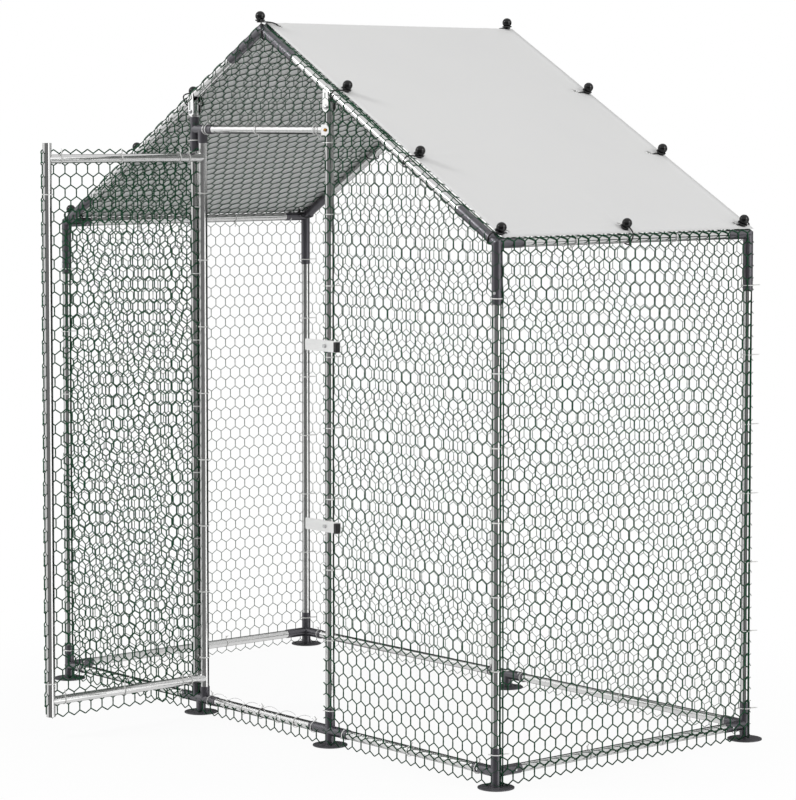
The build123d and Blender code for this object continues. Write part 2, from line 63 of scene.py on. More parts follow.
post = middle("corner_post_front_right")
post_low, post_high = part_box("corner_post_front_right")
tube_r = (post_high.x - post_low.x) / 2
half_width = post.x
front_y = post.y
rear_y = middle("corner_post_rear_right").y
middle_y = (front_y + rear_y) / 2
half_depth = (rear_y - front_y) / 2
eave_z = middle("eave_rail_right").z
ridge_z = middle("ridge_pole").z
rail_z = middle("front_rail_right").z
header_z = middle("door_header").z
left_post_x = middle("door_post_left").x
right_post_x = middle("door_post_right").x
hinge_x = middle("door_hinge_stile").x
free_y = middle("door_free_stile").y
door_top_z = middle("door_top_rail").z
door_bottom_z = middle("door_bottom_rail").z
slope = math.atan2(ridge_z - eave_z, half_width)
slope_length = math.hypot(ridge_z - eave_z, half_width)
print(f"width {2 * half_width:.3f} depth {2 * half_depth:.3f} eave {eave_z:.3f} ridge {ridge_z:.3f} m")

# %% [markdown]
# The camera stands where the photographer stood, a little above the eaves and far off, with a long lens.
# The photograph's lens was shifted, which keeps upright posts parallel; a part of that shift is used here,
# as much as leaves the whole coop in view when the camera is moved. The rest is a slight tilt. Place and
# lens were fitted to the feet, the eave corners, the ridge, the door and the latches.

# %% Camera at the photograph's viewing angle
frame_height_px = 800
focal_px = 2963.6
sensor_mm = 36.0
lens_shift = -0.128
camera_place = (6.7197, -5.3926, 1.7614)
tilt_down = 0.0608
turn = 0.8692


def put_in_scene(name, data):
    """A new object that holds the data and stands in the scene."""
    made = bpy.data.objects.new(name, data)
    bpy.context.scene.collection.objects.link(made)
    return made


camera_data = bpy.data.cameras.new("photo_camera")
camera_data.sensor_width = sensor_mm
camera_data.lens = focal_px / frame_height_px * sensor_mm
camera_data.shift_y = lens_shift
camera = put_in_scene("photo_camera", camera_data)
camera.location = camera_place
camera.rotation_euler = (math.pi / 2 - tilt_down, 0, turn)
bpy.context.scene.camera = camera
print(f"lens {camera_data.lens:.1f} mm")

# %% [markdown]
# A colour is written as the hex value that a screen shows. Blender mixes light in linear values, so one
# function turns the first into the second.

# %% Colours and nodes
def linear(hex_colour):
    """Linear red, green, blue and alpha of an sRGB hex colour."""
    parts = [int(hex_colour[i:i + 2], 16) / 255 for i in (1, 3, 5)]
    return [c / 12.92 if c <= 0.04045 else ((c + 0.055) / 1.055) ** 2.4 for c in parts] + [1.0]


def add_node(tree, kind, settings=None, inputs=None):
    """Adds one node with its settings; an input takes a value, or a link if it is given an output."""
    made = tree.nodes.new(kind)
    for name, value in (settings or {}).items():
        setattr(made, name, value)
    for name, value in (inputs or {}).items():
        if isinstance(value, bpy.types.NodeSocket):
            tree.links.new(value, made.inputs[name])
        else:
            made.inputs[name].default_value = value
    return made


def feed(tree, node, **links):
    """Links outputs to inputs of a node; an input's name has _ for a space."""
    for name, output in links.items():
        tree.links.new(output, node.inputs[name.replace("_", " ")])


def start_finish(name, **sockets):
    """A new material: its node tree, its surface shader and the place of each point in metres."""
    finish = bpy.data.materials.new(name)
    finish.use_nodes = True
    tree = finish.node_tree
    surface = tree.nodes["Principled BSDF"]
    for socket, value in sockets.items():
        surface.inputs[socket.replace("_", " ")].default_value = value
    place = add_node(tree, "ShaderNodeTexCoord").outputs["Object"]
    print("finish:", name)
    return finish, tree, surface, place


# %% [markdown]
# The tubes and the straps over the rafters are mild steel, hot-dip galvanised. The zinc freezes in flat
# crystals, the spangle, each with a slightly different shine. To the eye that gives a neutral grey metal
# with clear reflections that break up a little from crystal to crystal. A cell pattern about 9 mm wide
# gives each crystal its own grey and its own roughness.

# %% Galvanised steel
spangle_mm = 9.0
galvanised, tree, surface, place = start_finish("galvanised_steel_hot_dip", Metallic=1.0)
spangle = add_node(tree, "ShaderNodeTexVoronoi", inputs={"Vector": place, "Scale": 1000 / spangle_mm})
crystal = add_node(tree, "ShaderNodeMix", {"data_type": "RGBA"},
                   {0: spangle.outputs["Color"], 6: linear("#C8C8C8"), 7: linear("#D0D0CF")})
shine = add_node(tree, "ShaderNodeMapRange",
                 inputs={"Value": spangle.outputs["Color"], "To Min": 0.08, "To Max": 0.11})
feed(tree, surface, Base_Color=crystal.outputs[2], Roughness=shine.outputs["Result"])

# %% [markdown]
# The connectors are welded from steel tube and powder coated in dark grey with a little metal flake. Melted
# powder flows into a skin with a faint orange peel, about 2 mm from crest to crest. The flake gives a broad
# satin shine, and the clear resin over it, the coat here, keeps long sharp lines of light on the sockets.

# %% Powder-coated steel
peel_mm = 2.0
dust_mm = 60.0
powder_coat, tree, surface, place = start_finish("steel_powder_coated_dark_grey", Metallic=0.55,
                                                 Coat_Weight=0.5, Coat_Roughness=0.14)
dust = add_node(tree, "ShaderNodeTexNoise",
                inputs={"Vector": place, "Scale": 1000 / dust_mm, "Detail": 4.0})
grey = add_node(tree, "ShaderNodeMix", {"data_type": "RGBA"},
                {0: dust.outputs["Fac"], 6: linear("#46444A"), 7: linear("#56545A")})
satin = add_node(tree, "ShaderNodeMapRange",
                 inputs={"Value": dust.outputs["Fac"], "To Min": 0.32, "To Max": 0.42})
peel = add_node(tree, "ShaderNodeTexNoise", inputs={"Vector": place, "Scale": 1000 / peel_mm})
skin = add_node(tree, "ShaderNodeBump",
                inputs={"Height": peel.outputs["Fac"], "Strength": 0.06, "Distance": 0.0004})
feed(tree, surface, Base_Color=grey.outputs[2], Roughness=satin.outputs["Result"],
     Normal=skin.outputs["Normal"])

# %% [markdown]
# The net is galvanised wire with a skin of dark green PVC. Extruded PVC is smooth, with a soft gloss, and
# its green varies a little along the wire where the skin is thicker or thinner.

# %% PVC-coated wire
skin_change_mm = 25.0
net_wire, tree, surface, place = start_finish("wire_pvc_coated_green", Roughness=0.42,
                                              Specular_IOR_Level=0.2)
change = add_node(tree, "ShaderNodeTexNoise", inputs={"Vector": place, "Scale": 1000 / skin_change_mm})
green = add_node(tree, "ShaderNodeMix", {"data_type": "RGBA"},
                 {0: change.outputs["Fac"], 6: linear("#06351D"), 7: linear("#125536")})
feed(tree, surface, Base_Color=green.outputs[2])

# %% [markdown]
# The roof cover is woven polyester with a polyurethane coat. The coat fills the weave, so the cloth is
# smooth and pale grey with hardly any sheen. The threads lie 0.5 mm apart; they are drawn at 1 mm, which
# shows close by and blends to one tone in this picture. Slow clouds of tone keep it from looking printed.

# %% Coated polyester cloth
drawn_thread_mm = 1.0
cloud_mm = 330.0
cover_cloth, tree, surface, place = start_finish("polyester_cloth_coated", Roughness=0.62)
cloud = add_node(tree, "ShaderNodeTexNoise",
                 inputs={"Vector": place, "Scale": 1000 / cloud_mm, "Detail": 3.0})
pale = add_node(tree, "ShaderNodeMix", {"data_type": "RGBA"},
                {0: cloud.outputs["Fac"], 6: linear("#DBDBDB"), 7: linear("#E0E0DF")})
waves_per_unit = 20
bands = 1000 / drawn_thread_mm / waves_per_unit
warp = add_node(tree, "ShaderNodeTexWave", {"bands_direction": "Y"}, {"Vector": place, "Scale": bands})
weft = add_node(tree, "ShaderNodeTexWave", {"bands_direction": "X"}, {"Vector": place, "Scale": bands})
weave = add_node(tree, "ShaderNodeMath", {"operation": "MULTIPLY"},
                 {0: warp.outputs["Fac"], 1: weft.outputs["Fac"]})
threads = add_node(tree, "ShaderNodeBump",
                   inputs={"Height": weave.outputs["Value"], "Strength": 0.05, "Distance": 0.0002})
feed(tree, surface, Base_Color=pale.outputs[2], Normal=threads.outputs["Normal"])

# %% [markdown]
# The bungee balls and the latch grips are injection moulded in black plastic. The balls come from a
# polished mould and shine; the grips come from a spark-eroded mould, whose 0.8 mm grain scatters the light.

# %% Moulded black plastics
flow_mm = 7.0
grain_mm = 0.8
ball_plastic, tree, surface, place = start_finish("polypropylene_moulded_polished", Specular_IOR_Level=0.36)
flow = add_node(tree, "ShaderNodeTexNoise", inputs={"Vector": place, "Scale": 1000 / flow_mm})
black = add_node(tree, "ShaderNodeMix", {"data_type": "RGBA"},
                 {0: flow.outputs["Fac"], 6: linear("#040405"), 7: linear("#0B0B0C")})
polish = add_node(tree, "ShaderNodeMapRange",
                  inputs={"Value": flow.outputs["Fac"], "To Min": 0.05, "To Max": 0.09})
feed(tree, surface, Base_Color=black.outputs[2], Roughness=polish.outputs["Result"])

grip_plastic, tree, surface, place = start_finish("polypropylene_moulded_grained", Roughness=0.45)
grain = add_node(tree, "ShaderNodeTexNoise", inputs={"Vector": place, "Scale": 1000 / grain_mm})
coal = add_node(tree, "ShaderNodeMix", {"data_type": "RGBA"},
                {0: grain.outputs["Fac"], 6: linear("#0C0C0D"), 7: linear("#1C1C1E")})
eroded = add_node(tree, "ShaderNodeBump",
                  inputs={"Height": grain.outputs["Fac"], "Strength": 0.2, "Distance": 0.0002})
feed(tree, surface, Base_Color=coal.outputs[2], Normal=eroded.outputs["Normal"])

# %% [markdown]
# The latch plates are pressed from zinc-plated sheet. Rolling leaves fine lines along the sheet, and the
# plating is brighter and whiter than the dipped tubes.

# %% Zinc-plated sheet
roll_line_mm = 3.0
line_stretch = 12.0
zinc_sheet, tree, surface, place = start_finish("steel_sheet_zinc_plated", Metallic=1.0)
stretch = add_node(tree, "ShaderNodeMapping", inputs={"Vector": place, "Scale": (1.0, 1.0, line_stretch)})
lines = add_node(tree, "ShaderNodeTexNoise",
                 inputs={"Vector": stretch.outputs["Vector"], "Scale": 1000 / roll_line_mm / line_stretch})
plated = add_node(tree, "ShaderNodeMix", {"data_type": "RGBA"},
                  {0: lines.outputs["Fac"], 6: linear("#E4E4E4"), 7: linear("#F2F2F1")})
rolled = add_node(tree, "ShaderNodeMapRange",
                  inputs={"Value": lines.outputs["Fac"], "To Min": 0.3, "To Max": 0.42})
feed(tree, surface, Base_Color=plated.outputs[2], Roughness=rolled.outputs["Result"])

# %% [markdown]
# Screws and bolts are zinc plated in a barrel, which leaves small scuffs, and the header bolt is yellow
# passivated. The foot plates are stamped and dipped, and have gone dull. Ties are natural nylon, milky and
# slightly waxy. Elastic cord is rubber under a black braid whose stitches are 1.5 mm apart. The eyelets are
# nickel-plated brass with a satin face.

# %% Fasteners, feet, ties and cord
def small_part_finish(name, dark, light, change_mm, **sockets):
    """A finish for small parts: two close tones that change over a few millimetres."""
    finish, tree, surface, place = start_finish(name, **sockets)
    scuffs = add_node(tree, "ShaderNodeTexNoise",
                      inputs={"Vector": place, "Scale": 1000 / change_mm, "Detail": 3.0})
    tone = add_node(tree, "ShaderNodeMix", {"data_type": "RGBA"},
                    {0: scuffs.outputs["Fac"], 6: linear(dark), 7: linear(light)})
    relief = add_node(tree, "ShaderNodeBump",
                      inputs={"Height": scuffs.outputs["Fac"], "Strength": 0.1, "Distance": 0.0002})
    feed(tree, surface, Base_Color=tone.outputs[2], Normal=relief.outputs["Normal"])
    return finish


zinc_bolt = small_part_finish("steel_zinc_barrel_plated", "#B4B5B6", "#DCDCDD", 4.0,
                              Metallic=1.0, Roughness=0.3)
yellow_zinc = small_part_finish("steel_yellow_passivated", "#94631F", "#C2904A", 4.0,
                                Metallic=1.0, Roughness=0.35)
foot_zinc = small_part_finish("steel_stamped_dull_zinc", "#5A595D", "#6B6A6E", 25.0,
                              Metallic=0.45, Roughness=0.42)
tie_nylon = small_part_finish("nylon_natural_moulded", "#E2E2E0", "#F4F4F2", 12.0, Roughness=0.4)
cord_braid = small_part_finish("rubber_braided_black", "#070707", "#1B1B1C", 1.5, Roughness=0.6)
eyelet_nickel = small_part_finish("brass_nickel_satin", "#BEBEBD", "#CDCDCC", 3.0,
                                  Metallic=1.0, Roughness=0.45)

# %% [markdown]
# A solid takes the finish of the real piece, found by a word in the solid's name. A solid without such a
# word is a plain tube, which is galvanised.

# %% Give the solids their finishes
finishes = {
    "connector": powder_coat, "foot_plates": foot_zinc, "mesh": net_wire, "roof_cover": cover_cloth,
    "bungee_balls": ball_plastic, "bungee_cords": cord_braid, "latch_plate": zinc_sheet,
    "latch_grip": grip_plastic, "latch_bolts": zinc_bolt,
}
for name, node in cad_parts.items():
    matches = [finish for word, finish in finishes.items() if word in name]
    node.data.materials.clear()
    node.data.materials.append(matches[0] if matches else galvanised)
print("finishes given to", len(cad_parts), "solids")

# %% [markdown]
# Every new piece is a mesh or a curve that rides on one body of the model, so it moves when that body
# moves. This helper does the common steps: make the mesh, smooth it, give it its finish, let it ride.

# %% Add a piece
def add_piece(name, points, faces, finish, body, slot, replaced=()):
    """A mesh piece on a body of the model, in the place of the solids that it replaces."""
    mesh = bpy.data.meshes.new(name)
    mesh.from_pydata(np.asarray(points).tolist(), [], [list(face) for face in faces])
    mesh.materials.append(finish)
    mesh.shade_smooth()
    piece = put_in_scene(name, mesh)
    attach(piece, body)
    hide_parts(*replaced)
    print(name, len(mesh.vertices), "points", len(mesh.polygons), "faces")
    return piece


# %% [markdown]
# Hexagonal net is made of pairs of wires. Two neighbours twist round each other for one side of the
# hexagon, part, and each twists with its neighbour on the other side. So a wire steps half a hexagon
# sideways at every row, always to the same hand, and the other half of the wires steps to the other hand.
# Drawing each wire as one long line keeps that true; copying a hexagon would not.

# %% Lines of the wires in a net
hexagon_width = 0.0385
hexagon_side = hexagon_width / math.sqrt(3)
row_sides = 1.5
half_twist_r = 0.0003


def clip_line(points, outline):
    """Parts of a line of points that lie inside a convex outline, given anticlockwise."""
    corners = np.array(outline)
    edges = np.roll(corners, -1, axis=0) - corners
    inward = np.stack([-edges[:, 1], edges[:, 0]], 1)
    depth = (points[:, None, :2] - corners[None]) @ inward.T
    depth = np.stack([depth[:, i, i] for i in range(len(corners))], 1)
    kept, run = [], []
    for i in range(len(points) - 1):
        low, high = 0.0, 1.0
        for start, end in zip(depth[i], depth[i + 1]):
            if start < 0 and end < 0:
                high = -1.0
            elif start < 0:
                low = max(low, start / (start - end))
            elif end < 0:
                high = min(high, start / (start - end))
        if low >= high:
            continue
        step = points[i + 1] - points[i]
        if low > 0 or not run:
            run = [points[i] + step * low]
            kept.append(run)
        run.append(points[i] + step * high)
        if high < 1:
            run = []
    return [np.array(line) for line in kept if len(line) > 1]


def net_lines(outline, side, column):
    """Lines of all wires of a net inside an outline, with twists on the given column."""
    corners = np.array(outline)
    low, high = corners.min(0), corners.max(0)
    row = row_sides * side
    rows = int((high[1] - low[1]) / row) + 2
    reach = int((high[0] - low[0]) / hexagon_width) + rows // 2 + 3
    lines = []
    for hand in (-1, 1):
        for wire in range(-reach, reach + 1):
            points = []
            for j in range(-1, rows):
                x = column + (wire + hand * j / 2) * hexagon_width
                z = low[1] + side / 2 + row * j
                if j >= 0:
                    points += [(x - hand * half_twist_r, z, 0), (x, z + side / 2, hand * half_twist_r)]
                points.append((x + hand * half_twist_r, z + side, 0))
            lines += clip_line(np.array(points), outline)
    return lines


# %% [markdown]
# On the real coop the net is stretched flat and its cut ends are bent round the tubes at its edges. A net
# is drawn flat first. What lies past an edge line is then rolled round a bend behind that line, as if the
# flat sheet were wrapped over the tube. A bend a little wider than the tube leaves the ends springing off
# it, as stiff wire does. An edge is given by its outward direction, its distance and its bend.

# %% Bend the ends of a net round its tubes
bend_steps = 4


def finer(line, edges):
    """More points on the part of a line that is bent, so that it bends smoothly."""
    points = [line[0]]
    for start, end in zip(line[:-1], line[1:]):
        bent = any(np.dot(spot[:2], normal) > offset for normal, offset, _ in edges for spot in (start, end))
        pieces = bend_steps if bent else 1
        points += [start + (end - start) * (k + 1) / pieces for k in range(pieces)]
    return np.array(points)


def roll_past_edges(points, edges):
    """Flat points with everything past an edge rolled round a bend of the given radius."""
    rolled = points.copy()
    for normal, offset, bend in edges:
        past = np.clip(points[:, :2] @ np.array(normal) - offset, 0, None)
        turned_by = past / bend
        radius = bend + points[:, 2]
        rolled[:, :2] += np.outer(np.where(past > 0, radius * np.sin(turned_by) - past, 0), normal)
        rolled[:, 2] -= radius * (1 - np.cos(turned_by))
    return rolled


# %% [markdown]
# A line becomes a wire when a small section is swept along it. Three sides are enough for a wire that is
# hardly a pixel wide; smooth shading rounds it, and the whole coop stays light enough to turn in the
# viewport. Each wall has its own wire radius, set so that its net looks as dark as it does in the
# photograph, where thin wires blend with what lies behind them.

# %% Sweep the wires and hang a net
wire_section = np.radians([90, 210, 330])
front_wire_r = 0.00192
gable_wire_r = 0.001
side_wire_r = 0.00218
left_wire_r = 0.00125
roof_wire_r = 0.0016
rear_wire_r = 0.001


def sweep_wires(lines, radius):
    """Points and faces of wires along flat lines."""
    out = np.array((0, 0, 1))
    sides = len(wire_section)
    all_points, all_faces, count = [], [], 0
    for line in lines:
        along = np.gradient(line, axis=0)
        along /= np.linalg.norm(along, axis=1)[:, None]
        sideways = np.cross(along, out)
        rings = [line + radius * (math.sin(a) * out + math.cos(a) * sideways) for a in wire_section]
        all_points.append(np.stack(rings, 1).reshape(-1, 3))
        starts = count + sides * np.arange(len(line) - 1)
        for k in range(sides):
            n = (k + 1) % sides
            corners = [starts + k, starts + n, starts + n + sides, starts + k + sides]
            all_faces += np.stack(corners, 1).tolist()
        last = count + sides * (len(line) - 1)
        all_faces += [[count + k for k in reversed(range(sides))], [last + k for k in range(sides)]]
        count += sides * len(line)
    return np.concatenate(all_points), all_faces


def hang_net(name, outline, origin, across, upward, body="frame", radius=front_wire_r, fitted=True,
             borders=(), edges=(), column=None):
    """A net in the place of a flat solid: whole rows if it is fitted, straight border wires, bent ends."""
    corners = np.array(outline)
    low, high = corners[:, 1].min(), corners[:, 1].max()
    side = hexagon_side
    if fitted:
        rows = round(((high - low) / side - 0.5) / row_sides)
        side = (high - low) / (row_sides * rows + 0.5)
    if column is None:
        column = (corners[:, 0].min() + corners[:, 0].max()) / 2
    lines = net_lines(outline, side, column)
    lines += [np.array([(u, low, 0), (u, high, 0)]) for u in borders]
    flat, faces = sweep_wires([finer(line, edges) for line in lines], radius)
    to_frame = np.array([across, upward, np.cross(across, upward)])
    points = roll_past_edges(flat, edges) @ to_frame + np.array(origin)
    add_piece(name + "_wire", points, faces, net_wire, body, "wire_net", [name])


# %% [markdown]
# The front nets lie outside the tubes and stop at the rafters, where the roof's net takes over. Their outer
# ends are bent round the corner posts, and their lower edges hang below the rails in open points. The left
# net stops at the door post, which leaves the door room to swing. The gable net stops at the header.

# %% Nets of the front wall
ground_gap = 0.005
below_rafter = 0.006
post_wrap = 0.022
latch_room = 0.0015
hinge_room = 0.002
header_share = 0.9
right_column_shift = 0.0038


def roof_z(x):
    """Height of the slanting upper edge of a wall's net, just under the rafter's axis."""
    return ridge_z - abs(x) * math.tan(slope) - below_rafter / math.cos(slope)


wall_y = middle("front_mesh_right").y + latch_room
wall_bend = front_y - wall_y
front = {"origin": (0, wall_y, 0), "across": (1, 0, 0), "upward": (0, 0, 1), "fitted": False}
edge = half_width + post_wrap
net_stop = left_post_x - hinge_room
gable_foot = header_z + header_share * tube_r
post_left, post_right = left_post_x + tube_r, right_post_x - tube_r
hang_net("front_mesh_left",
         [(-edge, ground_gap), (net_stop, ground_gap), (net_stop, roof_z(net_stop)), (-edge, roof_z(edge))],
         edges=(((-1, 0), half_width, wall_bend),), column=(post_left - half_width) / 2, **front)
hang_net("front_mesh_right",
         [(post_right, ground_gap), (edge, ground_gap), (edge, roof_z(edge)),
          (post_right, roof_z(post_right))],
         edges=(((1, 0), half_width, wall_bend),),
         column=(post_right + half_width) / 2 + right_column_shift, **front)
hang_net("front_mesh_gable",
         [(post_left, gable_foot), (post_right, gable_foot), (post_right, roof_z(post_right)),
          (0, roof_z(0)), (post_left, roof_z(post_left))],
         radius=gable_wire_r, **front)

# %% [markdown]
# The strip under the doorway is about one hexagon high and is bent in over the sill. A thin bare wire laces
# it to the tube and stands up behind in arcs, each two hexagons wide. An arc is a flattened sine, swept like
# the wires of the net.

# %% Strip under the doorway and its lacing
sill_foot = 0.003
strip_sides = 1.75
sill_top = sill_foot + strip_sides * hexagon_side
sill_bend = 0.019
hang_net("sill_mesh",
         [(post_left, sill_foot), (post_right, sill_foot), (post_right, sill_top), (post_left, sill_top)],
         edges=(((0, 1), rail_z, sill_bend),), **front)

socket_mouth = 0.070
lace_r = 0.0006
lace_rise = 0.013
lace_back = 0.004
lace_sink = 0.0015
lace_flatness = 0.7
lace_share = np.linspace(0, 1, 13)
lace_start, lace_end = left_post_x + socket_mouth, right_post_x - socket_mouth
lace_count = round((lace_end - lace_start) / (2 * hexagon_width))
laces = []
for k in range(lace_count):
    lace_x = lace_start + (lace_end - lace_start) * (k + lace_share) / lace_count
    lace_z = rail_z + tube_r - lace_sink + lace_rise * np.sin(np.pi * lace_share) ** lace_flatness
    laces.append(np.stack([lace_x, lace_z, np.full_like(lace_x, -lace_back)], 1))
lace_flat, lace_faces = sweep_wires(laces, lace_r)
lace_points = np.stack([lace_flat[:, 0], front_y - lace_flat[:, 2], lace_flat[:, 1]], 1)
add_piece("sill_lacing", lace_points, lace_faces, zinc_bolt, "frame", "zinc_bolt")

# %% [markdown]
# The rear net is one sheet. Its side ends are bent loosely round the rear posts.

# %% Net of the rear wall
rear_wrap = 0.012
rear_bend = 0.019
rear_edge = half_width + rear_wrap
hang_net("rear_mesh",
         [(-rear_edge, ground_gap), (rear_edge, ground_gap), (rear_edge, roof_z(rear_edge)), (0, roof_z(0)),
          (-rear_edge, roof_z(rear_edge))],
         (0, middle("rear_mesh").y, 0), (-1, 0, 0), (0, 0, 1), radius=rear_wire_r, fitted=False,
         edges=tuple(((sign, 0), half_width, rear_bend) for sign in (-1, 1)))

# %% [markdown]
# One strip of net, as wide as the coop is deep, goes up a side wall, over the eave rail and on over the
# roof. Its twists run up the wall and up the slope, and straight border wires run along its edges. The
# wall's piece is rolled over the rail until it leans like the roof, where the roof's piece takes over. The
# roof's wires lie a little deeper than the flat solid, clear of the cover. At the front they run on past
# the rafter and are bent down round it, closer on the right than on the left.

# %% Nets of the side walls and the roof
border_insets = (0.001, 0.0107)
rail_bend = 0.0145
roof_sink = 0.0019
rear_overhang = 0.004
front_overhang = 0.030
cut_past_twist = 0.0008
left_column, right_column = 0.0015, -0.004
left_rafter_bend, right_rafter_bend = 0.018, 0.0145


def slope_out(sign):
    """Direction straight out of a roof slope, the left one for -1 and the right one for 1."""
    return (sign * math.sin(slope), 0, math.cos(slope))


def slope_up(sign):
    """Direction up a roof slope to the ridge."""
    return (-sign * math.cos(slope), 0, math.sin(slope))


wall_top = eave_z + rail_bend * (math.pi / 2 - slope)
reach = half_depth - border_insets[0]
roof_front, roof_rear = half_depth + front_overhang, half_depth + rear_overhang
for side_name, sign, wire, column, rafter_bend in (
    ("left", -1, left_wire_r, left_column, left_rafter_bend),
    ("right", 1, side_wire_r, right_column, right_rafter_bend),
):
    side_x = middle(f"side_mesh_{side_name}").x
    borders = [sign * reach, *(sign * (inset - half_depth) for inset in border_insets)]
    hang_net(f"side_mesh_{side_name}",
             [(-reach, ground_gap), (reach, ground_gap), (reach, wall_top), (-reach, wall_top)],
             (side_x, middle_y, 0), (0, sign, 0), (0, 0, 1), radius=wire, borders=borders,
             edges=(((0, 1), eave_z, rail_bend),), column=column)
    standoff = abs(side_x) - half_width - roof_sink
    ridge_point = np.array((0, middle_y, ridge_z)) + np.array(slope_out(sign)) * standoff
    low_u, high_u = sorted((-sign * (roof_front + cut_past_twist), sign * roof_rear))
    hang_net(f"roof_mesh_{side_name}",
             [(low_u, -slope_length), (high_u, -slope_length), (high_u, 0), (low_u, 0)],
             ridge_point, (0, sign, 0), slope_up(sign), radius=roof_wire_r, borders=borders,
             edges=(((-sign, 0), half_depth, rafter_bend),), column=-sign * roof_front)

# %% [markdown]
# The door's own net rides on the door. It stands up half a hexagon past the top rail and hangs down further
# past the bottom rail, and its end is bent round the free stile. Its lower corner is cut off there, so that
# it passes the foot of the door post.

# %% Net of the door
net_above_rail = 0.026
net_below_rail = 0.0526
net_past_stile = 0.034
corner_cut = 0.030
stile_bend = 0.021
door_reach = front_y - free_y
net_end = door_reach + net_past_stile
net_low, net_high = door_bottom_z - net_below_rail, door_top_z + net_above_rail
hang_net("door_mesh",
         [(-tube_r, net_low), (door_reach - tube_r, net_low), (net_end, net_low + corner_cut),
          (net_end, net_high), (-tube_r, net_high)],
         (middle("door_mesh").x, front_y, 0), (0, -1, 0), (0, 0, 1), body="door", radius=side_wire_r,
         edges=(((1, 0), door_reach, stile_bend),), column=(net_end - tube_r) / 2)

# %% [markdown]
# Sixteen ball bungees hold the cover down: one at each end of the ridge, three along each end of each
# slope, and one in the middle of each eave. A place is a point on a tube's axis with the way inward over
# the cover, the way up from it, how far in the ball and the eyelet lie, and the length of the loop.

# %% Places of the bungees
roof_ends = (
    {"y": front_y, "inward": 1, "eyelet": 0.050, "ridge_ball": -0.006, "slope_ball": 0.029,
     "ridge_loop": 0.257, "slope_loop": 0.225, "corner_loop": 0.225},
    {"y": rear_y, "inward": -1, "eyelet": 0.037, "ridge_ball": 0.007, "slope_ball": -0.002,
     "ridge_loop": 0.233, "slope_loop": 0.204, "corner_loop": 0.201},
)
first_run = {-1: 0.407, 1: 0.384}
second_run = 0.741
corner_inset = 0.021
corner_run = slope_length - corner_inset
corner_ball = 0.016
eave_eyelet, eave_ball, eave_loop = 0.037, 0.022, 0.202


def on_rafter(sign, run, y):
    """A point on a rafter's axis, some way down from the ridge."""
    return (sign * run * math.cos(slope), y, ridge_z - run * math.sin(slope))


bungee_places = []
for end in roof_ends:
    inward, eyelet = Vector((0, end["inward"], 0)), end["eyelet"]
    bungee_places.append((Vector((0, end["y"], ridge_z)), inward, Vector((0, 0, 1)), end["ridge_ball"],
                          eyelet, end["ridge_loop"], True))
    for sign in (-1, 1):
        for run, ball, length in (
            (first_run[sign], end["slope_ball"], end["slope_loop"]),
            (second_run, end["slope_ball"], end["slope_loop"]),
            (corner_run, corner_ball, end["corner_loop"]),
        ):
            seat = Vector(on_rafter(sign, run, end["y"]))
            bungee_places.append((seat, inward, Vector(slope_out(sign)), ball, eyelet, length, False))
for sign in (-1, 1):
    bungee_places.append((Vector((sign * half_width, middle_y, eave_z)), Vector(slope_up(sign)),
                          Vector(slope_out(sign)), eave_ball, eave_eyelet, eave_loop, False))
print(len(bungee_places), "bungees")

# %% [markdown]
# Each elastic loop leaves the ball's neck, goes down through its eyelet, round under the tube, up again and
# once round the neck, where it is hooked. At the ridge it passes beside the ridge pole, 18 mm off. A NURBS
# curve of order 3 with these control points bends as a tight cord does. The points are inward, up and
# sideways from the tube's axis, in metres.

# %% Elastic loops
cord_d = 0.004
lane = 0.0164
bevel = 0.009
ridge_shift = 0.018
hook_side = 0.0123
hook_corner = hook_side / math.cos(math.radians(30))
for i, (seat, inward, up, ball, eyelet, length, at_ridge) in enumerate(bungee_places, 1):
    level, hook, depth = (0.0212, 0.0255, 0.0301) if at_ridge else (0.0188, 0.0231, 0.0164)
    neck, shift = (0.0123, ridge_shift) if at_ridge else (0.0103, 0.0)
    loop = [
        (ball + neck, level, 0), (eyelet, level, shift), (eyelet, bevel - depth, shift),
        (eyelet - bevel, -depth, shift), (bevel - lane, -depth, shift), (-lane, bevel - depth, shift),
        (-lane, hook, shift), (ball - hook_corner / 2, hook, hook_side),
        (ball + hook_corner / 2, hook, hook_side), (ball + hook_corner, hook, 0),
        (ball + hook_corner / 2, hook, -hook_side), (ball - hook_corner / 2, hook, -hook_side),
        (ball - 3 * hook_corner / 4, hook, -hook_side / 2),
    ]
    sideways = inward.cross(up)
    route = [seat + inward * u + up * v + sideways * w for u, v, w in loop]
    cord_data = bpy.data.curves.new(f"bungee_cord_{i:02d}", "CURVE")
    cord_data.dimensions = "3D"
    cord_data.bevel_depth = cord_d / 2
    cord_data.bevel_resolution = 3
    cord_data.resolution_u = 8
    spline = cord_data.splines.new("NURBS")
    spline.points.add(len(route) - 1)
    for point, spot in zip(spline.points, route):
        point.co = (*spot, 1.0)
    spline.order_u = 3
    spline.use_endpoint_u = True
    cord_data.materials.append(cord_braid)
    cord = put_in_scene(cord_data.name, cord_data)
    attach(cord, "frame")
    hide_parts("bungee_cords")
print("loops of", cord_d * 1000, "mm cord")

# %% [markdown]
# The roof cover is one cloth folded over the ridge. It is pulled flat by the bungees, so a simulation
# would only return a plane. It is built as a fine grid instead, with a doubled hem, a hole at each eyelet,
# a soft swell between the holds and small folds that run from each eyelet towards the middle. Extra grid
# lines run along the hems, the holes and the ridge fold.

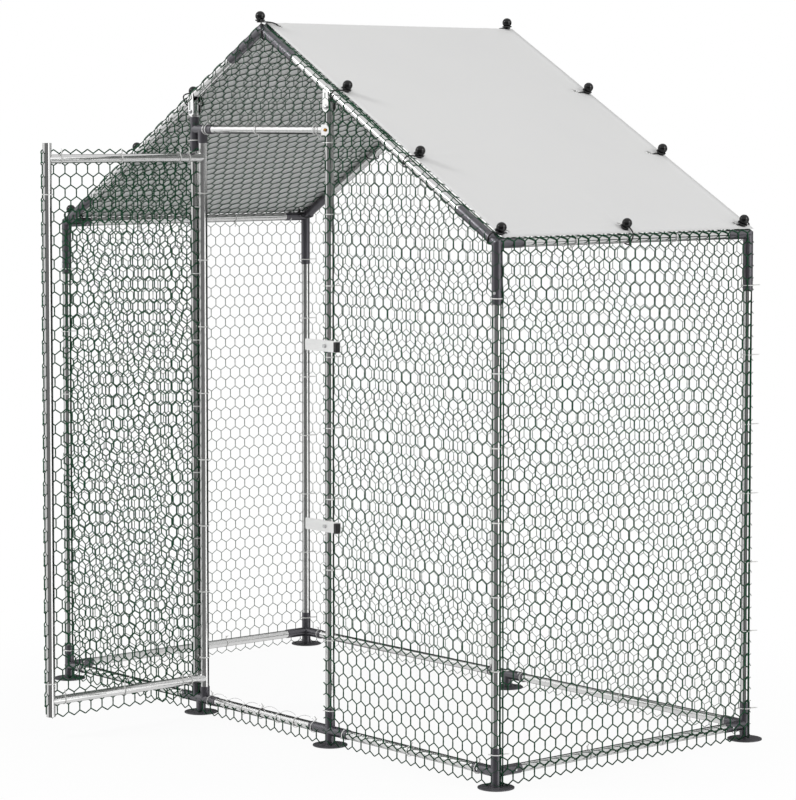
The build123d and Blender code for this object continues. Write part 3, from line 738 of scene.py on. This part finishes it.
# %% Grid of the roof cover
cloth_thickness = 0.0008
hem_width = 0.025
hem_step = 0.0015
hole_half = 0.005
grid_step = 0.014
closest_lines = 0.001
ridge_fold = 0.002
cloth_low, cloth_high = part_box("roof_cover")
half_run = cloth_high.x / math.cos(slope)
eyelet_spots = []
for seat, inward, up, _, eyelet, _, at_ridge in bungee_places:
    spot = seat + inward * eyelet + inward.cross(up) * (ridge_shift if at_ridge else 0.0)
    eyelet_spots.append((spot.x / math.cos(slope), spot.y))


def grid_lines(low, high, stops):
    """Even lines with extra ones at the stops, none of them too close to the one before."""
    values = sorted([*np.linspace(low, high, round((high - low) / grid_step) + 1), *stops])
    kept = [values[0]]
    for value in values[1:]:
        if value - kept[-1] > closest_lines:
            kept.append(value)
    return np.array(kept)


hem_run = half_run - hem_width
hem_front, hem_rear = cloth_low.y + hem_width, cloth_high.y - hem_width
run_stops = [-hem_run, hem_run, -hem_run + hem_step, hem_run - hem_step, -ridge_fold, 0.0, ridge_fold]
depth_stops = [hem_front, hem_rear, hem_front + hem_step, hem_rear - hem_step]
for run, depth in eyelet_spots:
    run_stops += [run - hole_half, run + hole_half]
    depth_stops += [depth - hole_half, depth + hole_half]
runs, depths = np.meshgrid(grid_lines(-half_run, half_run, run_stops),
                           grid_lines(cloth_low.y, cloth_high.y, depth_stops), indexing="ij")
print(runs.shape[0], "by", runs.shape[1], "grid lines")

# %% [markdown]
# The height of the cloth over its flat slope is the sum of these: up to 2 mm of swell, folds of 2 mm that
# die out over 90 mm, and the step of the hem, whose two layers are pressed flat. The folds stand round an
# eyelet like the rays of a star, and only on the side of the middle where the eyelet is at an end.

# %% Shape of the roof cover
swell_height = 0.0012
swell_change = 0.6
swell_waves = (9.0, 7.0)
fold_height = 0.0022
fold_reach = 0.09
fold_start = 0.02
fold_gap = 0.6
fold_rays = 7
fold_turn = 40
hem_rise = 0.0003
across_share = (depths - cloth_low.y) / (cloth_high.y - cloth_low.y)
height = swell_height * (np.sin(np.pi * across_share) * np.sin(np.pi * np.abs(runs) / half_run)) ** 2
height *= 1 + swell_change * np.sin(swell_waves[0] * runs + swell_waves[1] * depths)
for run, depth in eyelet_spots:
    distance = np.hypot(runs - run, depths - depth)
    angle = np.arctan2(depths - depth, runs - run)
    fold = np.cos(fold_rays * angle + fold_turn * run) ** 2 * np.exp(-distance / fold_reach)
    fold *= np.clip(distance / fold_start - fold_gap, 0, 1)
    if abs(depth - middle_y) > half_depth / 2:
        fold *= np.clip(np.sign(middle_y - depth) * np.sin(angle), 0, 1)
    height += fold_height * fold
in_hem = (np.abs(runs) >= hem_run) | (depths <= hem_front) | (depths >= hem_rear)
height = np.where(in_hem, np.minimum(height, cloth_thickness) + hem_rise, height)
inner = height - cloth_thickness
flat_x = runs * math.cos(slope)
flat_z = cloth_high.z - np.abs(flat_x) * math.tan(slope)
out_x, out_z = np.sign(runs) * math.sin(slope), math.cos(slope)
top = np.stack([flat_x + out_x * height, depths, flat_z + out_z * height], -1)
under = np.stack([flat_x + out_x * inner, depths, flat_z + out_z * inner], -1)
print(f"cover stands up to {1000 * height.max():.1f} mm off its slope")

# %% [markdown]
# Two copies of the grid make the upper and the lower face of the cloth. Where a cell lies in an eyelet's
# hole it is left out. An edge that only one cell uses lies on the rim, and a narrow face closes it.

# %% Mesh of the roof cover
rows, columns = runs.shape
below = rows * columns
number = np.arange(below).reshape(rows, columns)
cell_run = (runs[:-1, :-1] + runs[1:, 1:]) / 2
cell_depth = (depths[:-1, :-1] + depths[1:, 1:]) / 2
open_hole = np.zeros(cell_run.shape, bool)
for run, depth in eyelet_spots:
    open_hole |= (np.abs(cell_run - run) < hole_half) & (np.abs(cell_depth - depth) < hole_half)
cells = [number[:-1, :-1], number[1:, :-1], number[1:, 1:], number[:-1, 1:]]
upper = np.stack([cell[~open_hole] for cell in cells], 1).tolist()
lower = [[i + below for i in reversed(face)] for face in upper]
sides = {(a, b) for face in upper for a, b in zip(face, face[1:] + face[:1])}
rim = [(b, a, a + below, b + below) for a, b in sorted(sides) if (b, a) not in sides]
cloth_points = np.concatenate([top.reshape(-1, 3), under.reshape(-1, 3)])
cover = add_piece("roof_cover_cloth", cloth_points, upper + lower + rim, cover_cloth, "frame",
                  "cover_cloth", ["roof_cover"])

# %% [markdown]
# Small turned and pressed parts are lofted: rings of points, one after the other, joined by faces. A
# screw's rings grow and shrink along its axis. A tie's rings go round the tube and close on themselves.

# %% Loft rings into a part
def loft(rings, closed=False):
    """Points and faces through rings of points; closed joins the last ring to the first."""
    rings = np.asarray(rings)
    count, size = rings.shape[:2]
    faces = []
    for i in range(count if closed else count - 1):
        a, b = i * size, (i + 1) % count * size
        faces += [[a + k, a + (k + 1) % size, b + (k + 1) % size, b + k] for k in range(size)]
    if not closed:
        faces += [list(range(size))[::-1], list(range((count - 1) * size, count * size))]
    return rings.reshape(-1, 3), faces


def join(parts):
    """Several parts as one set of points and faces."""
    points, faces, count = [], [], 0
    for part_points, part_faces in parts:
        points.append(part_points)
        faces += [[i + count for i in face] for face in part_faces]
        count += len(part_points)
    return np.concatenate(points), faces


def turned(base, axis, profile, sides=12, closed=False):
    """A part turned about an axis: profile gives radius and height of each ring."""
    axis = Vector(axis).normalized()
    first = axis.orthogonal().normalized()
    second = axis.cross(first)
    turns = [2 * math.pi * k / sides for k in range(sides)]
    rings = [[Vector(base) + axis * h + (first * math.cos(t) + second * math.sin(t)) * r for t in turns]
             for r, h in profile]
    return loft(rings, closed)


# %% [markdown]
# The eyelets are two brass rings pressed together through the cloth. Their rolled rim is a ring profile
# turned about the hole.

# %% Eyelets of the cover
eyelet_sides = 20
eyelet_profile = [(0.0046, -0.0012), (0.0046, 0.0012), (0.0056, 0.0017), (0.0070, 0.0015), (0.0078, 0.0009),
                  (0.0080, 0.0002), (0.0076, -0.0012)]
eyelet_parts = []
for run, depth in eyelet_spots:
    x = run * math.cos(slope)
    spot = (x, depth, cloth_high.z - abs(x) * math.tan(slope))
    out = slope_out(math.copysign(1, x))
    eyelet_parts.append(turned(spot, out, eyelet_profile, eyelet_sides, closed=True))
eyelet_rings = add_piece("cover_eyelets", *join(eyelet_parts), eyelet_nickel, "frame", "cover_cloth")
print(f"cover cut {cloth_high.y - cloth_low.y:.3f} by {2 * half_run:.3f} m")

# %% [markdown]
# Nylon ties hold the net to the tubes, about every 195 mm. A tie is a thin band round the tube and the
# wire, with a long tail that was left sticking out and the stub of the locking head on the other side. A
# tail is a strip that curls: each step along it turns a little more.

# %% Shape of a nylon tie
band_width = 0.0025
band_thickness = 0.0011
band_slack = 0.0006
wire_bulge = 0.0026
band_steps = 20
tail_width = 0.0028
tail_thickness = 0.0012
tail_tip = 0.4
tail_steps = 6


def tail(start, way, lift, along, length, curl):
    """A strip from a point, first one way, then turned towards lift by the curl, in radians."""
    rings = []
    spot = start
    for k in range(tail_steps + 1):
        bend = curl * k / tail_steps
        ahead = way * math.cos(bend) + lift * math.sin(bend)
        aside = lift * math.cos(bend) - way * math.sin(bend)
        half_w = tail_width / 2 * (1.0 if k < tail_steps else tail_tip)
        rings.append([spot + aside * (a * tail_thickness / 2) + along * (b * half_w)
                      for a, b in ((-1, -1), (1, -1), (1, 1), (-1, 1))])
        spot = spot + ahead * (length / tail_steps)
    return loft(rings)


def tie(centre, along, toward_net, radius, tails):
    """A tie round a tube, bulged toward the net; each tail has its way, its length and its curl."""
    centre, along, toward_net = Vector(centre), Vector(along).normalized(), Vector(toward_net).normalized()
    across = along.cross(toward_net)
    half_band = band_width / 2
    rings = []
    for k in range(band_steps):
        t = 2 * math.pi * k / band_steps
        way = toward_net * math.cos(t) + across * math.sin(t)
        r = radius + band_slack + wire_bulge * max(0.0, math.cos(t)) ** 2
        rings.append([centre + way * (r + h) + along * w for h, w in (
            (0, -half_band), (band_thickness, -half_band), (band_thickness, half_band), (0, half_band))])
    parts = [loft(rings, closed=True)]
    for way, length, curl in tails:
        way = Vector(way).normalized()
        lift = along.cross(way).normalized()
        parts.append(tail(centre + way * (radius + band_slack), way, lift, along, length, curl))
    return join(parts)


# %% [markdown]
# On the corner posts the ties sit at even heights from the eave connector down to the foot, and on the door
# posts from the header down. Their tails point across the picture, a long one to the right and a stub to
# the left. The left door post's ties have only the stub and sit tight, so that the door passes them.

# %% Ties on the posts
connector_r = 0.0141
tie_sink = 0.0008
tie_step = 0.196
eave_tie_z = eave_z - 0.144
foot_tie_z = rail_z + 0.047
right_tie_z, right_tie_step = header_z - 0.035, 0.199
left_tie_z = header_z - 0.032
long_tail, stub = 0.021, 0.006
tail_rise = 0.04
slight_curl = 0.1
tail_way = Vector((math.cos(turn), math.sin(turn), tail_rise))
post_tails = ((tail_way, long_tail, slight_curl), (-tail_way, stub, 0.0))
upright = (0, 0, 1)
frame_ties = []
for sign in (-1, 1):
    for y, out_y in ((front_y, -1), (rear_y, 1)):
        for z in (*(eave_tie_z - tie_step * k for k in range(6)), foot_tie_z):
            radius = connector_r if z in (eave_tie_z, foot_tie_z) else tube_r
            spot = (sign * half_width, y, z)
            frame_ties.append(tie(spot, upright, (sign, out_y, 0), radius, post_tails))
right_radii = [tube_r] * 8 + [connector_r]
for k, radius in enumerate(right_radii):
    spot = (right_post_x, front_y, right_tie_z - right_tie_step * k)
    frame_ties.append(tie(spot, upright, (1, 0, 0), radius, post_tails))
left_radii = [connector_r] + [tube_r - tie_sink] * 7
for k, radius in enumerate(left_radii):
    spot = (left_post_x, front_y, left_tie_z - tie_step * k)
    frame_ties.append(tie(spot, upright, (-1, 0, 0), radius, post_tails[1:]))
print(len(frame_ties), "ties on the posts")

# %% [markdown]
# On the bottom rails of the front and the rear there is a tie at the mouth of every socket and one between,
# with tails that curl up over the tube; the sill has more, one between each two arcs of its lacing. The side
# rails, the eave rails and the header have a few each, at shares of their length.

# %% Ties on the rails and the roof tubes
rail_tail, short_tail = 0.018, 0.0108
curl_up, curl_back = 1.2, -0.9
header_mouth = 0.06


def ties_along(start, end, shares, toward_net, way, radius):
    """Ties at shares of a straight tube, each with two short tails that curl apart."""
    start, end = Vector(start), Vector(end)
    tails = ((way, rail_tail, curl_up), (way, short_tail, curl_back))
    return [tie(start.lerp(end, share), end - start, toward_net, radius, tails) for share in shares]


for y, out_y, ends in ((front_y, -1, (-half_width, left_post_x, right_post_x, half_width)),
                       (rear_y, 1, (-half_width, 0, half_width))):
    toward, way = (0, out_y, -1), (0, -0.25 * out_y, 1)
    for x0, x1 in zip(ends[:-1], ends[1:]):
        start, end = (x0 + socket_mouth, y, rail_z), (x1 - socket_mouth, y, rail_z)
        frame_ties += ties_along(start, end, (0, 1), toward, way, connector_r - tie_sink)
        frame_ties += ties_along(start, end, (0.5,), toward, way, tube_r)
for k in range(1, lace_count):
    spot = (lace_start + (lace_end - lace_start) * k / lace_count, front_y, rail_z)
    frame_ties.append(tie(spot, (1, 0, 0), (0, -1, -1), tube_r, ()))
for sign in (-1, 1):
    for z, shares, way in ((rail_z, (0.33, 0.67), (-0.25 * sign, 0, 1)),
                           (eave_z, (0.25, 0.72), (-0.5 * sign, 0, -1))):
        start = (sign * half_width, front_y + socket_mouth, z)
        end = (sign * half_width, rear_y - socket_mouth, z)
        frame_ties += ties_along(start, end, shares, (sign, 0, 0), way, tube_r)
start, end = (left_post_x + header_mouth, front_y, header_z), (right_post_x, front_y, header_z)
frame_ties += ties_along(start, end, (0.0, 0.02), (0, -1, 0), (0, 0.2, 1), connector_r)
frame_ties += ties_along(start, end, (0.43, 0.9, 0.925), (0, -1, 0), (0, 0.2, -1), tube_r)
add_piece("net_ties_frame", *join(frame_ties), tie_nylon, "frame", "grip_plastic")

# %% [markdown]
# The door has two ties on its free stile, eight on its hinge stile and four on each rail.

# %% Ties on the door
free_ties = (door_bottom_z + 0.050, door_top_z - 0.100)
hinge_ties = [door_top_z - 0.105 - tie_step * k for k in range(8)]
stile_tails = tuple(((0, way, tail_rise), stub, 0.0) for way in (1, -1))
door_ties = []
for y, heights in ((free_y, free_ties), (front_y, hinge_ties)):
    door_ties += [tie((hinge_x, y, z), upright, (-1, 0, 0), tube_r, stile_tails) for z in heights]
for z in (door_bottom_z, door_top_z):
    door_ties += ties_along((hinge_x, front_y, z), (hinge_x, free_y, z), (0.10, 0.16, 0.54, 0.92),
                            (-1, 0, 0), (0.5, 0, 1), tube_r)
add_piece("net_ties_door", *join(door_ties), tie_nylon, "door", "grip_plastic")

# %% [markdown]
# A self-tapping screw locks a tube in its socket. Its pan head has a driver recess. A screw's place is a
# point on the tube's axis and the way out to its head, which sits on the socket.

# %% Screws of the connectors
pan_head = [(0.0038, 0.0), (0.0038, 0.0010), (0.0032, 0.0018), (0.0020, 0.0022), (0.0015, 0.0022),
            (0.0012, 0.0012)]
foot_screw = 0.060
eave_post_screw = 0.13
eave_rail_screw = 0.070
rafter_screw = 0.135
screw_sink = 0.0004
screw_places = []
for sign in (-1, 1):
    for y, out_y in ((front_y, -1), (rear_y, 1)):
        x = sign * half_width
        screw_places += [
            ((x - sign * foot_screw, y, rail_z), (0, out_y, 0)),
            ((x, y - out_y * foot_screw, rail_z), (sign, 0, 0)),
            ((x, y, eave_z - eave_post_screw), (sign * 0.3, out_y * 0.9, 0)),
            ((x, y - out_y * eave_rail_screw, eave_z), (-sign * 0.8, 0, -0.6)),
        ]
        for run in (rafter_screw, slope_length - rafter_screw):
            screw_places.append((on_rafter(sign, run, y), (-sign * 0.3, -out_y * 0.8, -0.5)))
for along in (-foot_screw, foot_screw):
    screw_places.append(((right_post_x + along, front_y, rail_z), (0, -0.5, -0.8)))
    screw_places.append(((along, rear_y, rail_z), (0, -0.6, 0.8)))
screws = [turned(Vector(spot) + Vector(out).normalized() * (connector_r - screw_sink), out, pan_head)
          for spot, out in screw_places]
add_piece("connector_screws", *join(screws), zinc_bolt, "frame", "zinc_bolt")

# %% [markdown]
# The header's flat end is held by a small yellow bolt, and each strap by a bolt through the post with a nut
# behind. Both are six-sided turned parts on a washer.

# %% Bolts of the header and the straps
hex_sides = 6
hex_head = [(0.0075, 0.0), (0.0075, 0.0010), (0.0058, 0.0011), (0.0058, 0.0040), (0.0048, 0.0048)]
small_share = 0.7
small_head = [(small_share * r, h) for r, h in hex_head]
strap_bolt_rise = 0.013
tongue_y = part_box("door_header")[0].y
header_bolt = turned((right_post_x, tongue_y, header_z), (0, -1, 0), small_head, hex_sides)
add_piece("header_bolt", *header_bolt, yellow_zinc, "frame", "zinc_bolt")
strap_bolts = []
for name in ("rafter_strap_left", "rafter_strap_right"):
    low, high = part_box(name)
    x, z = (low.x + high.x) / 2, low.z + strap_bolt_rise
    for y, out_y in ((low.y, -1), (high.y, 1)):
        strap_bolts.append(turned((x, y, z), (0, out_y, 0), hex_head, hex_sides))
add_piece("strap_bolts", *join(strap_bolts), zinc_bolt, "frame", "zinc_bolt")

# %% [markdown]
# The studio is plain: a pale floor that keeps the shadow, a white surround and soft lamps. The floor shows
# itself to the camera mostly as white paper, with a share of its real shading for the shadow under the
# coop; away from the coop that share fades out. Reflections look past the floor at the surround, so that a
# post mirrors the same cards from top to bottom.

# %% Floor
floor_half = 30.0
fade_from, fade_to = 0.6, 2.2
white_share_near = 0.93
floor_mesh = bpy.data.meshes.new("studio_floor")
corners = [(x * floor_half, y * floor_half, 0) for x, y in ((-1, -1), (1, -1), (1, 1), (-1, 1))]
floor_mesh.from_pydata(corners, [], [(0, 1, 2, 3)])
floor = put_in_scene("studio_floor", floor_mesh)
floor.visible_glossy = False


def seen_directly(tree):
    """One for rays that show the background: straight to the camera, mirrored or through glass."""
    ray = add_node(tree, "ShaderNodeLightPath")
    mirrored = add_node(tree, "ShaderNodeMath", {"operation": "MAXIMUM"},
                        {0: ray.outputs["Is Glossy Ray"], 1: ray.outputs["Is Transmission Ray"]})
    return add_node(tree, "ShaderNodeMath", {"operation": "MAXIMUM"},
                    {0: ray.outputs["Is Camera Ray"], 1: mirrored.outputs["Value"]}).outputs["Value"]


paper, tree, surface, place = start_finish("studio_paper_white", Roughness=0.9)
surface.inputs["Base Color"].default_value = linear("#E6E6E6")
far = add_node(tree, "ShaderNodeVectorMath", {"operation": "LENGTH"}, {0: place})
fade = add_node(tree, "ShaderNodeMapRange", {"interpolation_type": "SMOOTHSTEP"},
                {"Value": far.outputs["Value"], "From Min": fade_from, "From Max": fade_to,
                 "To Min": white_share_near, "To Max": 1.0})
share = add_node(tree, "ShaderNodeMath", {"operation": "MULTIPLY"},
                 {0: seen_directly(tree), 1: fade.outputs["Result"]})
white = add_node(tree, "ShaderNodeEmission", inputs={"Color": (1, 1, 1, 1), "Strength": 1.0})
blend = add_node(tree, "ShaderNodeMixShader",
                 inputs={0: share.outputs["Value"], 1: surface.outputs["BSDF"], 2: white.outputs["Emission"]})
feed(tree, tree.nodes["Material Output"], Surface=blend.outputs["Shader"])
floor_mesh.materials.append(paper)

# %% [markdown]
# The surround shows the camera pure white and lights the coop with less than that, so that pale cloth
# doesn't burn out. A key lamp high on the left and a weaker one on the right give the coop its form.

# %% Surround and lamps
surround_light = 0.67
world = bpy.data.worlds.new("studio_surround")
world.use_nodes = True
bpy.context.scene.world = world
tree = world.node_tree
level = add_node(tree, "ShaderNodeMapRange",
                 inputs={"Value": seen_directly(tree), "To Min": surround_light, "To Max": 1.0})
surround = tree.nodes["Background"]
surround.inputs["Color"].default_value = (1, 1, 1, 1)
feed(tree, surround, Strength=level.outputs["Result"])


def soft_lamp(name, place, target, size, watts):
    """A square lamp that points at a target and isn't seen itself."""
    data = bpy.data.lights.new(name, "AREA")
    data.shape = "RECTANGLE"
    data.size = data.size_y = size
    data.energy = watts
    lamp = put_in_scene(name, data)
    lamp.location = place
    lamp.rotation_euler = (Vector(target) - Vector(place)).to_track_quat("-Z", "Y").to_euler()
    lamp.visible_camera = False


lamp_target = (0, 0.2, 1.0)
soft_lamp("key_softbox", (-2.5, -5.0, 5.5), lamp_target, 1.6, 215)
soft_lamp("fill_softbox", (6.0, 2.0, 4.5), lamp_target, 2.4, 95)
print("surround and two lamps")

# %% [markdown]
# Round metal shows whatever stands about it, so a photographer puts cards beside the set. Here they are
# seen only in reflections, and give the tubes their bands: a wide grey one behind the camera, a white one
# beside it on the right, a low dark one further round, and a dark one behind the coop, which draws the
# edges of the tubes. A white one on the left lights the far flank of the posts, and a white one high up in
# front gives the sloping tubes their white line.

# %% Cards that only reflections see
def card(name, points, tone, strength=1.0):
    """A card given by pairs of points, one low and one high, as reflections see it."""
    card_mesh = bpy.data.meshes.new(name)
    faces = [(k, k + 2, k + 3, k + 1) for k in range(0, len(points) - 2, 2)]
    card_mesh.from_pydata(points, [], faces)
    finish = bpy.data.materials.new(name)
    finish.use_nodes = True
    tree = finish.node_tree
    glow = add_node(tree, "ShaderNodeEmission", inputs={"Color": linear(tone), "Strength": strength})
    feed(tree, tree.nodes["Material Output"], Surface=glow.outputs["Emission"])
    card_mesh.materials.append(finish)
    made = put_in_scene(name, card_mesh)
    made.visible_camera = made.visible_diffuse = made.visible_shadow = made.visible_transmission = False
    print("card:", name)


def arc_points(first, last, low, high, radius=15.0, steps=24):
    """Pairs of points on an arc round the coop, from one azimuth to another in degrees."""
    turns = [math.radians(first + (last - first) * k / steps) for k in range(steps + 1)]
    return [(radius * math.cos(a), radius * math.sin(a), z) for a in turns for z in (low, high)]


card("grey_card_front", arc_points(-99, -5, -12.0, 5.8), "#828282")
card("white_card_right", arc_points(-5, 35, -12.0, 9.0), "#FFFFFF", 2.0)
card("dark_card_right", arc_points(41, 88, -3.0, 1.2), "#1E1E1E")
card("dark_card_rear", arc_points(88, 192, -12.0, 13.0), "#404040")
card("white_card_left", arc_points(-166, -136, 1.6, 12.0), "#FFFFFF", 1.7)
card("white_card_high", arc_points(-130, -90, 4.3, 6.3, 4.2), "#FFFFFF", 2.0)

# %% View settings
bpy.context.scene.view_settings.view_transform = "Standard"
